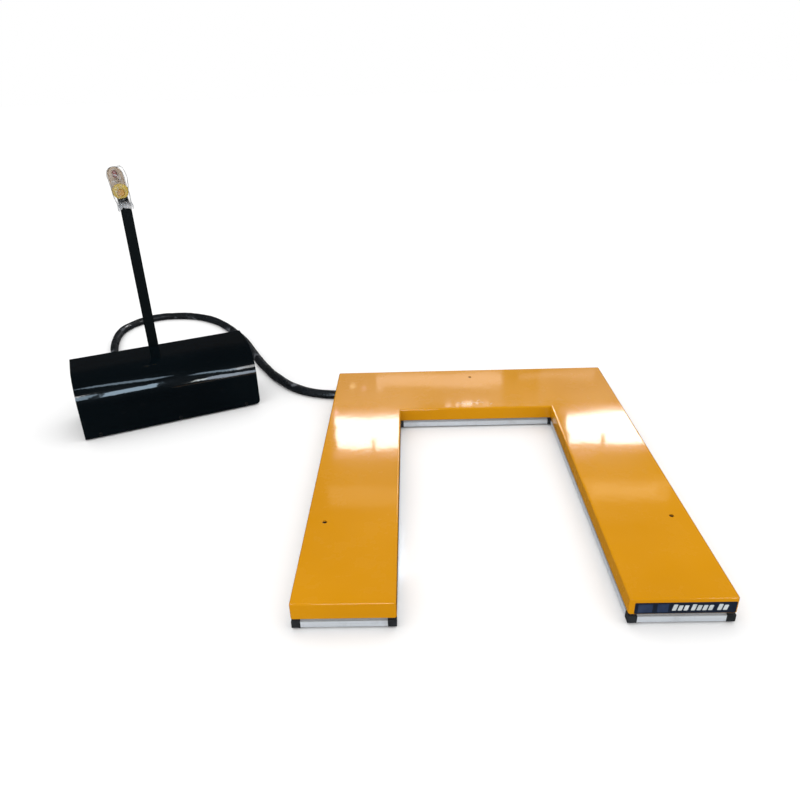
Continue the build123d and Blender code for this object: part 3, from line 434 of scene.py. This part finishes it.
def make_hose():
    """The loose wrap along the hose's whole route."""
    line = hose_line()
    points = even_points(line, SLEEVE_STEP)
    rings = []
    travelled = 0.0
    for i, point in enumerate(points):
        ahead = points[min(i + 1, len(points) - 1)]
        behind = points[max(i - 1, 0)]
        if i:
            travelled += (point - points[i - 1]).length
        along = (ahead - behind).normalized()
        side = along.cross(Vector((0, 0, 1))).normalized()
        up = side.cross(along)
        ring = []
        for j in range(SLEEVE_SIDES):
            angle = 2 * math.pi * j / SLEEVE_SIDES
            cosine, sine = math.cos(angle), math.sin(angle)
            # Loose wrap: long soft flats, cross creases and a seam that winds round slowly.
            place = Vector((travelled * 9.0, cosine * 1.1, sine * 1.1))
            flats = noise.noise(place)
            crease = abs(noise.noise(Vector((travelled * 34.0, cosine * 1.6, sine * 1.6 + 7.0))))
            wind = math.cos(angle - travelled * 21.0)
            seam = math.exp(-((1.0 - wind) * 9.0))
            radius = SLEEVE_R * (1.12 + 0.15 * flats - 0.09 * crease + 0.03 * seam)
            # The wrap closes to a cuff over the last rings at each end.
            end = min(i, len(points) - 1 - i) / CUFF_RINGS
            if end < 1.0:
                radius = CUFF_R * (1.0 - end) + radius * end
            spot = point + side * (cosine * radius * 1.02) + up * (sine * radius)
            spot.z = max(spot.z, SLEEVE_LOWEST)
            ring.append(spot)
        rings.append(ring)
    hose = make_piece("hose_wrap", "base", "sleeve_wrap", *rings_to_mesh(rings))
    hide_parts("hose_sleeve")


make_camera()
make_hose()


# ---- Floor and light --------------------------------------------------------------------------
FLOOR_HALF = 30.0
SKY_ON_MATT = (1.18, 1.18, 1.18, 1.0)
SKY_IN_GLOSS = (0.030, 0.030, 0.031, 1.0)
SKY_SEEN = (1.0, 1.0, 1.0, 1.0)


def make_floor():
    """Pale floor that catches soft shadows, and is not mirrored by the table."""
    s = Surface("floor", Roughness=0.7, Specular_IOR_Level=0.0)
    s.to("Base Color", s.ramp(s.noise(1.5, 3.0), (0.3, (0.86, 0.86, 0.86)), (0.7, (0.89, 0.89, 0.89))))
    s.bumps((s.noise(300.0, 2.0), 0.0001, 0.1))
    corners = [(x * FLOOR_HALF, y * FLOOR_HALF, 0) for x, y in ((-1, -1), (1, -1), (1, 1), (-1, 1))]
    mesh = bpy.data.meshes.new("floor")
    mesh.from_pydata(corners, [], [(0, 1, 2, 3)])
    mesh.materials.append(s.material)
    floor = bpy.data.objects.new("floor", mesh)
    floor.visible_glossy = False
    scene.collection.objects.link(floor)


def make_world():
    """A pale studio that lights matt surfaces evenly, but is nearly dark in glossy ones."""
    world = bpy.data.worlds.new("studio")
    world.use_nodes = True
    tree = world.node_tree
    background = tree.nodes["Background"]
    rays = tree.nodes.new("ShaderNodeLightPath")
    glossy = tree.nodes.new("ShaderNodeMixRGB")
    glossy.inputs["Color1"].default_value = SKY_ON_MATT
    glossy.inputs["Color2"].default_value = SKY_IN_GLOSS
    tree.links.new(rays.outputs["Is Glossy Ray"], glossy.inputs["Fac"])
    seen = tree.nodes.new("ShaderNodeMixRGB")
    seen.inputs["Color2"].default_value = SKY_SEEN
    tree.links.new(rays.outputs["Is Camera Ray"], seen.inputs["Fac"])
    tree.links.new(glossy.outputs["Color"], seen.inputs["Color1"])
    tree.links.new(seen.outputs["Color"], background.inputs["Color"])
    scene.world = world


WHITE, GLINT, COOL = (1.0, 1.0, 1.0), (1.0, 0.93, 0.96), (0.85, 0.88, 1.0)
ROSY, PEACH, STRAW = (1.0, 0.68, 0.88), (1.0, 0.80, 0.70), (1.0, 0.82, 0.50)
BLUE, PALE_BLUE, GREENISH = (0.62, 0.82, 1.0), (0.75, 0.86, 1.0), (0.95, 1.0, 0.90)
COVER_MIDDLE = (-1.2, 0.45, 0.17)

# The wall beyond the table, which the deck mirrors, as rectangles that face the viewer: left, right,
# bottom, top, radiance and colour. Each stands a step nearer than the one before, so that no small
# one is hidden.
BEYOND_Y, BEYOND_STEP = 5.0, 0.003
BEYOND = [
    # Wide dim walls under the windows.
    (-1.70, 0.75, 1.300, 2.390, 0.30, COOL),
    (1.15, 2.80, 1.300, 2.390, 0.30, COOL),
    # Left window, its top row split by a bar.
    (-1.18, -0.20, 2.525, 2.860, 11.0, WHITE),
    (-1.16, -0.765, 2.860, 2.970, 11.0, WHITE),
    (-0.725, -0.20, 2.860, 2.970, 11.0, WHITE),
    # Right window likewise, and a brightness that only the slot's rounded edge mirrors.
    (1.50, 2.44, 2.540, 2.780, 11.0, WHITE),
    (1.53, 1.895, 2.780, 2.930, 11.0, WHITE),
    (0.10, 1.22, 2.500, 2.930, 9.0, WHITE),
    (1.940, 2.44, 2.780, 2.930, 11.0, WHITE),
    # Rosy edges above and below the windows.
    (-1.22, -0.20, 2.985, 3.100, 0.9, ROSY),
    (1.45, 2.50, 2.945, 3.050, 0.9, ROSY),
    (1.62, 1.79, 3.060, 3.110, 1.2, ROSY),
    (-1.22, -0.20, 2.420, 2.515, 0.8, ROSY),
    (1.40, 2.44, 2.440, 2.530, 0.8, ROSY),
    # Peach strips low down, straw coloured ones high up.
    (-0.68, 0.72, 2.010, 2.140, 1.4, PEACH),
    (0.90, 1.75, 2.010, 2.090, 0.7, PEACH),
    (-1.30, 0.40, 3.450, 3.740, 0.7, STRAW),
    (1.75, 2.80, 3.440, 3.740, 0.8, STRAW),
    (1.85, 2.65, 3.500, 3.660, 0.7, STRAW),
    # Small bright scraps.
    (0.10, 0.17, 2.350, 2.376, 7.0, GLINT),
    (0.22, 0.25, 2.352, 2.380, 9.0, GLINT),
    (0.29, 0.39, 2.350, 2.374, 13.0, GLINT),
    (0.44, 0.47, 2.354, 2.382, 9.0, GLINT),
    (0.51, 0.58, 2.348, 2.370, 7.0, GLINT),
    (-0.97, -0.92, 2.092, 2.108, 8.0, STRAW),
    (-0.84, -0.80, 2.130, 2.150, 4.0, ROSY),
    (-0.67, -0.60, 2.155, 2.170, 5.0, PEACH),
    (-1.17, -1.12, 2.400, 2.440, 6.0, ROSY),
]


def area_lamp(name, place, width, height, radiance, colour, reflected=True):
    """Area light: either it shows only in reflections, or it lights without showing in them."""
    data = bpy.data.lights.new(name, "AREA")
    data.shape = "RECTANGLE"
    data.size = width
    data.size_y = height
    data.energy = math.pi * width * height * radiance
    data.color = colour
    lamp = bpy.data.objects.new(name, data)
    lamp.matrix_world = place
    lamp.visible_glossy = reflected
    lamp.visible_diffuse = not reflected
    lamp.visible_camera = False
    scene.collection.objects.link(lamp)


def softbox(name, centre, towards, width, height, radiance, colour=WHITE, reflected=True):
    """Panel that faces the point it is aimed towards."""
    centre = Vector(centre)
    turn = (Vector(towards) - centre).to_track_quat("-Z", "Y").to_matrix().to_4x4()
    area_lamp(name, Matrix.Translation(centre) @ turn, width, height, radiance, colour, reflected)


def streak(name, start, end, height, radiance, colour):
    """Slanting strip that shows only in reflections, turned to face the pack's cover."""
    start, end = Vector(start), Vector(end)
    middle = (start + end) / 2
    along = (end - start).normalized()
    away = middle - Vector(COVER_MIDDLE)
    away = (away - along * away.dot(along)).normalized()
    turn = Matrix((along, away.cross(along), away)).transposed().to_4x4()
    area_lamp(name, Matrix.Translation(middle) @ turn, (end - start).length, height, radiance, colour)


def make_lights():
    """Two panels light the matt surfaces; all the others show only in the paint."""
    softbox("overhead", (0.0, 0.0, 4.5), (0.0, 0.0, 0.0), 6.0, 6.0, 0.30, reflected=False)
    softbox("front_fill", (-2.5, -5.0, 3.0), (-0.4, 0.0, 0.2), 3.0, 2.0, 0.6, reflected=False)
    for i, (left, right, bottom, top, radiance, colour) in enumerate(BEYOND):
        x, y, z = (left + right) / 2, BEYOND_Y - BEYOND_STEP * i, (bottom + top) / 2
        softbox(f"beyond_{i}", (x, y, z), (x, 0.0, z), right - left, top - bottom, radiance, colour)
    streak("streak_low_corner", (-1.12, -0.92, 0.70), (-1.00, -0.867, 0.67), 0.34, 8.0, BLUE)
    streak("streak_low_left", (-0.95, -0.85, 0.62), (-0.67, -0.725, 0.60), 0.36, 12.0, BLUE)
    streak("streak_low_right", (-0.44, -0.61, 0.34), (-0.16, -0.46, 0.06), 0.22, 10.0, PALE_BLUE)
    streak("streak_low_blot", (-0.50, -0.64, 0.30), (-0.42, -0.60, 0.28), 0.14, 9.0, GREENISH)
    streak("streak_high_left", (-1.10, -0.90, 2.47), (-0.63, -0.70, 1.37), 0.17, 6.0, BLUE)
    streak("streak_high_right", (-0.46, -0.61, 1.03), (-0.22, -0.49, 0.62), 0.11, 7.0, BLUE)
    # Panels in front of the table and at its side, for the deck's rounded edges.
    softbox("door_left", (-0.55, -3.5, 2.2), (-0.3, -0.9, 0.1), 0.95, 1.0, 9.0)
    softbox("door_right", (2.55, -3.5, 2.2), (0.8, -0.9, 0.1), 1.3, 1.0, 9.0)
    softbox("side_panel", (3.6, 0.4, 1.8), (0.5, 0.0, 0.1), 2.2, 1.6, 3.0)


make_floor()
make_world()
make_lights()
scene.view_settings.view_transform = "Standard"


# ---- CAD nodes that keep their shape ----------------------------------------------------------
def soften(node, width):
    """Small rounded edges on a CAD node, by modifiers: width is in metres."""
    weld = node.modifiers.new("weld", "WELD")
    weld.merge_threshold = 0.00001
    bevel = node.modifiers.new("bevel", "BEVEL")
    bevel.width = width
    bevel.segments = 2
    bevel.limit_method = "ANGLE"
    bevel.angle_limit = math.radians(32.0)
    bevel.use_clamp_overlap = True
    weighted = node.modifiers.new("normals", "WEIGHTED_NORMAL")
    weighted.weight = 80


SOFTENED = {
    "trip_corner_blocks": 0.0009,
    "trip_rails": 0.0005,
    "control_post": 0.0006,
    "pack_tray": 0.0004,
    "pack_back_panel": 0.0003,
    "post_clamp": 0.0006,
    "base_ties": 0.0006,
    "base_lugs": 0.0006,
    "inner_arms": 0.0008,
    "outer_arms": 0.0008,
    "rod_lug_frames": 0.0008,
    "deck_hinge_lugs": 0.0006,
    "deck_ribs": 0.0005,
    "oil_tank": 0.0010,
    "pump_block": 0.0010,
    "electrical_box": 0.0015,
}
for name, node in NODES.items():
    dress(node, SLOT_OF[name])
for name, width in SOFTENED.items():
    soften(NODES[name], width)


# ---- Label on the leg's end -------------------------------------------------------------------
def flat_box(x0, x1, y0, y1, z0, z1, round_r):
    """Small plate in the XZ plane with rounded corners, as vertices and faces."""
    outline = []
    steps = 5
    for cx, cz, start in (
        (x1 - round_r, z1 - round_r, 0), (x0 + round_r, z1 - round_r, 90),
        (x0 + round_r, z0 + round_r, 180), (x1 - round_r, z0 + round_r, 270),
    ):
        for step in range(steps + 1):
            angle = math.radians(start + 90 * step / steps)
            outline.append((cx + round_r * math.cos(angle), cz + round_r * math.sin(angle)))
    return rings_to_mesh([[(x, y, z) for x, z in outline] for y in (y1, y0)])


def join_parts(parts):
    """One list of vertices and faces from several."""
    vertices, faces = [], []
    for part_vertices, part_faces in parts:
        base = len(vertices)
        vertices.extend(part_vertices)
        faces.extend(tuple(i + base for i in face) for face in part_faces)
    return vertices, faces


PRINT_DEPTH, SQUARE_DEPTH = 0.00012, 0.00005
# Each square's left side and width, from the label's left end.
SQUARES = ((0.008, 0.037), (0.057, 0.028))
SQUARE_INSET = 0.0045
BARS_START, BARS_BOTTOM = 0.092, 0.009
BAR_WIDTH, BAR_PITCH, BAR_GROUP_GAP = 0.0105, 0.0145, 0.004
FIRST_BAR_TOP, BAR_TOP = 0.029, 0.026
BAR_SLANT = 0.2


def make_label():
    """Dark film with two blue squares and plain pale bars."""
    low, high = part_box("load_label")
    back, front = high.y, low.y
    face = front + PRINT_DEPTH
    plate = make_piece(
        "load_label_film", "platform", "label_film",
        *flat_box(low.x, high.x, face, back, low.z, high.z, round_r=0.0025), smooth=False,
    )
    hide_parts("load_label")
    squares, marks = [], []
    for x0, width in SQUARES:
        squares.append(
            flat_box(
                low.x + x0, low.x + x0 + width, face - SQUARE_DEPTH, face,
                low.z + SQUARE_INSET, high.z - SQUARE_INSET, round_r=0.001,
            )
        )
    # Plain slanting bars stand where a label would have its words.
    x = low.x + BARS_START
    for count in (3, 4, 0, 2):
        for i in range(count):
            bottom, top = low.z + BARS_BOTTOM, low.z + (BAR_TOP if i else FIRST_BAR_TOP)
            upright, faces = flat_box(x, x + BAR_WIDTH, front, face, bottom, top, round_r=0.002)
            slanted = [(vx + (vz - low.z) * BAR_SLANT, vy, vz) for vx, vy, vz in upright]
            marks.append((slanted, faces))
            x += BAR_PITCH
        x += BAR_GROUP_GAP
    for name, parts, finish in (
        ("label_squares", squares, "label_blue"),
        ("label_bars", marks, "label_pale"),
    ):
        piece = make_piece(name, "platform", "label_film", *join_parts(parts), smooth=False)
        dress(piece, finish)


make_label()


# ---- Clear film bag over the control head -----------------------------------------------------
BAG_HALF_U = 0.032
BAG_FRONT_V, BAG_BACK_V = -0.037, 0.030
BAG_BOTTOM, BAG_TOP = -0.008, 0.157
BAG_SIDES = 96
BAG_ROWS = 84
BAG_SQUARENESS = 0.62
DOME_BOTTOM = BAG_TOP - 0.030
DOME_SHARE = 0.60
NECK_Z, NECK_SPAN = 0.018, 0.014
FILM_THICKNESS = 0.00015


def bag_point(turn, share):
    """Point of the film: turn goes round, share from the hem up to the gathered top."""
    angle = 2 * math.pi * turn
    half_v = (BAG_BACK_V - BAG_FRONT_V) / 2
    mid_v = (BAG_BACK_V + BAG_FRONT_V) / 2
    cosine, sine = math.cos(angle), math.sin(angle)
    u = math.copysign(abs(cosine) ** BAG_SQUARENESS, cosine) * BAG_HALF_U
    v = math.copysign(abs(sine) ** BAG_SQUARENESS, sine) * half_v
    if share > DOME_SHARE:
        swing = (share - DOME_SHARE) / (1.0 - DOME_SHARE) * math.pi / 2
        width = max(math.cos(swing), 0.0) ** 0.72
        z = DOME_BOTTOM + (BAG_TOP - DOME_BOTTOM) * math.sin(swing) ** 1.3
    else:
        ragged = 0.011 * (0.5 + 0.5 * math.sin(angle * 3.0 + 0.8))
        ragged += 0.007 * noise.noise(Vector((cosine * 3.1, sine * 3.1, 4.0)))
        hem = max(ragged, 0.0) * max(0.0, 1.0 - share * 6.0)
        width = 1.0
        z = BAG_BOTTOM + hem + (DOME_BOTTOM - BAG_BOTTOM) * share / DOME_SHARE
    # Gathered a little at the neck below the yellow body, loose round the rest.
    neck = math.exp(-(((z - NECK_Z) / NECK_SPAN) ** 2))
    width *= 1.0 - 0.10 * neck
    place = Vector((cosine * 1.3, sine * 1.3, z * 26.0))
    folds = noise.noise(place * 1.1) + 0.55 * noise.noise(place * 2.7)
    pleat = abs(noise.noise(Vector((cosine * 2.6, sine * 2.6, z * 11.0 + 9.0))))
    sink = max(0.0, 0.0016 * (folds + 0.6) + 0.0045 * pleat)
    out = Vector((u, v, 0.0))
    reach = out.length * width
    out = out.normalized() * max(reach - sink, 0.0)
    return HEAD @ Vector((out.x, mid_v + out.y, z))


def make_film(name, vertices, faces):
    """Piece of clear film, its thickness behind its faces."""
    film = make_piece(name, "base", "clear_film", vertices, faces)
    solid = film.modifiers.new("film", "SOLIDIFY")
    solid.thickness = FILM_THICKNESS
    solid.offset = -1.0
    return film


def make_bag():
    """Film tube over the head, closed at the top and open at the hem."""
    rings = [
        [bag_point(j / BAG_SIDES, i / BAG_ROWS) for j in range(BAG_SIDES)] for i in range(BAG_ROWS)
    ]
    vertices, faces = rings_to_mesh(rings, closed_ends=False)
    tip = len(vertices)
    vertices.append(bag_point(0.0, 1.0))
    last = (BAG_ROWS - 1) * BAG_SIDES
    for j in range(BAG_SIDES):
        faces.append((last + j, last + (j + 1) % BAG_SIDES, tip))
    bag = make_film("clear_bag_film", vertices, faces)
    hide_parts("clear_bag")


FLAP_PROFILE = [
    (0.012, 0.153),
    (0.025, 0.1555),
    (0.034, 0.148),
    (0.0385, 0.132),
    (0.0400, 0.112),
    (0.0375, 0.092),
    (0.0335, 0.076),
    (0.0305, 0.066),
]
FLAP_STEPS, FLAP_COLUMNS = 40, 12
FLAP_FRONT_V, FLAP_DEPTH = -0.026, 0.034


def make_flap():
    """Loose fold of the film that stands out from the head's right side."""
    rows = []
    for i in range(FLAP_STEPS + 1):
        place = i / FLAP_STEPS * (len(FLAP_PROFILE) - 1)
        k = min(int(place), len(FLAP_PROFILE) - 2)
        share = place - k
        (u0, z0), (u1, z1) = FLAP_PROFILE[k], FLAP_PROFILE[k + 1]
        u = u0 * (1 - share) + u1 * share
        z = z0 * (1 - share) + z1 * share
        row = []
        for j in range(FLAP_COLUMNS + 1):
            v = FLAP_FRONT_V + FLAP_DEPTH * j / FLAP_COLUMNS
            crumple = noise.noise(Vector((i * 0.22, j * 0.31, 3.0)))
            row.append(HEAD @ Vector((u + 0.0022 * crumple, v, z + 0.0015 * crumple)))
        rows.append(row)
    width = FLAP_COLUMNS + 1
    vertices = [point for row in rows for point in row]
    faces = []
    for i in range(FLAP_STEPS):
        for j in range(FLAP_COLUMNS):
            k = i * width + j
            faces.append((k, k + 1, k + width + 1, k + width))
    make_film("clear_bag_flap", vertices, faces)


make_bag()
make_flap()


# ---- Welds, arrows and painted glints ---------------------------------------------------------
REAR_PIVOT_Y = 0.590
INNER_PIVOT_Z, OUTER_PIVOT_Z = 0.024, 0.058
ARM_RISE, ARM_LENGTH = 0.034, 1.230
SCISSOR_TILT = math.asin(ARM_RISE / ARM_LENGTH)
# Cross tube of the cylinder rods: its place along and above an inner arm, from the rear pivot.
TUBE_ALONG, TUBE_ABOVE = 0.135, 0.008
TUBE_BEADS_X = (0.3852, 0.4033, 0.4617, 0.4798)
TUBE_BEAD_LOOP, TUBE_BEAD_R = 0.0152, 0.0021
SHAFT_BEAD_LOOP = 0.0143
INNER_SHAFT_BEAD_X, INNER_SHAFT_BEAD_R = 0.3712, 0.0019
OUTER_SHAFT_BEAD_X, OUTER_SHAFT_BEAD_R = 0.3532, 0.0018
# Corners of the post's foot, in the pack's frame.
POST_FOOT = [(0.3150, 0.2670), (0.3550, 0.2670), (0.3550, 0.3070), (0.3150, 0.3070)]
POST_FOOT_Z, POST_BEAD_R = 0.0118, 0.0024
BEAD_STEP = 0.0014


def weld_bead(path, radius):
    """Closed bead of weld metal along a loop of points, with the ripples of each small pool."""
    loop = [Vector(point) for point in path]
    points = []
    for here, ahead in zip(loop, loop[1:] + loop[:1]):
        steps = max(1, round((ahead - here).length / BEAD_STEP))
        points += [here.lerp(ahead, k / steps) for k in range(steps)]
    middle = sum(loop, Vector()) / len(loop)
    rings = []
    for i, point in enumerate(points):
        along = (points[(i + 1) % len(points)] - points[i - 1]).normalized()
        out = point - middle
        out = (out - along * out.dot(along)).normalized()
        across = along.cross(out)
        swell = radius * (1.0 + 0.16 * math.sin(i * 1.9) + 0.12 * noise.noise(point * 90.0))
        rings.append([
            point + swell * (math.cos(turn) * out + math.sin(turn) * across)
            for turn in (math.pi * k / 4 for k in range(8))
        ])
    return rings_to_mesh(rings + rings[:1], closed_ends=False)


def circle_x(x, y, z, radius):
    """Loop of points round an axis along X."""
    turns = (2 * math.pi * k / 24 for k in range(24))
    return [(x, y + radius * math.cos(turn), z + radius * math.sin(turn)) for turn in turns]


def make_welds():
    """Beads on the cross tubes, the torsion shafts and the post's foot."""
    cosine, sine = math.cos(SCISSOR_TILT), math.sin(SCISSOR_TILT)
    tube_y = REAR_PIVOT_Y - TUBE_ALONG * cosine + TUBE_ABOVE * sine
    tube_z = INNER_PIVOT_Z + TUBE_ALONG * sine + TUBE_ABOVE * cosine
    inner, outer = [], []
    for side in (-1, 1):
        for x in TUBE_BEADS_X:
            loop = circle_x(side * x, tube_y, tube_z, TUBE_BEAD_LOOP)
            inner.append(weld_bead(loop, TUBE_BEAD_R))
        loop = circle_x(side * INNER_SHAFT_BEAD_X, REAR_PIVOT_Y, INNER_PIVOT_Z, SHAFT_BEAD_LOOP)
        inner.append(weld_bead(loop, INNER_SHAFT_BEAD_R))
        loop = circle_x(side * OUTER_SHAFT_BEAD_X, REAR_PIVOT_Y, OUTER_PIVOT_Z, SHAFT_BEAD_LOOP)
        outer.append(weld_bead(loop, OUTER_SHAFT_BEAD_R))
    make_piece("inner_welds", "inner_scissors", "black_satin_paint", *join_parts(inner))
    make_piece("outer_welds", "outer_scissors", "black_satin_paint", *join_parts(outer))
    bead = weld_bead([PACK @ Vector((u, v, POST_FOOT_Z)) for u, v in POST_FOOT], POST_BEAD_R)
    make_piece("post_weld", "base", "black_satin_paint", *bead)


BUTTON_FACE_V = -0.0301


def make_arrow(name, body, slot, centre_z, size):
    """Raised arrowhead on a button's face, pointing up or down by the sign of size."""
    wing, notch = -0.5 * size, -0.15 * size
    outline = [(0.0, size), (-0.8 * size, wing), (0.0, notch), (0.8 * size, wing)]
    if size < 0:
        outline.reverse()
    rings = [
        [HEAD @ Vector((grow * u, BUTTON_FACE_V + rise, centre_z + grow * z)) for u, z in outline]
        for grow, rise in ((1.0, 0.0004), (1.0, -0.0002), (0.8, -0.0004))
    ]
    make_piece(name, body, slot, *rings_to_mesh(rings), smooth=False)


PAINTED_GLINT_COUNT, PAINTED_GLINT_STEPS = 11, 8
PAINTED_GLINT_HALF_WIDTH = 0.0019
PAINTED_GLINT_SUNK, PAINTED_GLINT_PROUD = Vector((0, 0, 0.0003)), Vector((0, 0, 0.00012))


def make_painted_glints():
    """Thin pale marks, a hair above the paint, near the middle of the bridge: painted glints, standing in
    for small reflections of light along its near edge.
    """
    rng = random.Random(7)
    marks = []
    for _ in range(PAINTED_GLINT_COUNT):
        x, y = rng.uniform(-0.07, 0.07), rng.uniform(0.385, 0.420)
        turn, length = rng.uniform(-0.5, 1.3), rng.uniform(0.012, 0.030)
        across = Vector((-math.sin(turn), math.cos(turn), 0.0))
        rings = []
        for k in range(PAINTED_GLINT_STEPS + 1):
            share = k / PAINTED_GLINT_STEPS
            half = PAINTED_GLINT_HALF_WIDTH * math.sin(math.pi * (0.06 + 0.88 * share))
            bend = 0.22 * length * math.sin(math.pi * share)
            cx = x + (share - 0.5) * length * math.cos(turn) - bend * math.sin(turn)
            cy = y + (share - 0.5) * length * math.sin(turn) + bend * math.cos(turn)
            middle = Vector((cx, cy, DECK_TOP))
            rings.append([
                middle - across * half - PAINTED_GLINT_SUNK,
                middle + across * half - PAINTED_GLINT_SUNK,
                middle + across * half * 0.5 + PAINTED_GLINT_PROUD,
                middle - across * half * 0.5 + PAINTED_GLINT_PROUD,
            ])
        marks.append(rings_to_mesh(rings))
    # These pale marks are painted glints on the deck, not wear.
    scuffs = make_piece("painted_glint_marks", "platform", "deck_paint", *join_parts(marks))
    dress(scuffs, "painted_glint")


make_welds()
make_arrow("up_arrow", "up_button", "red_plastic", centre_z=0.132, size=0.0048)
make_arrow("down_arrow", "down_button", "grey_plastic", centre_z=0.1065, size=-0.0036)
make_painted_glints()
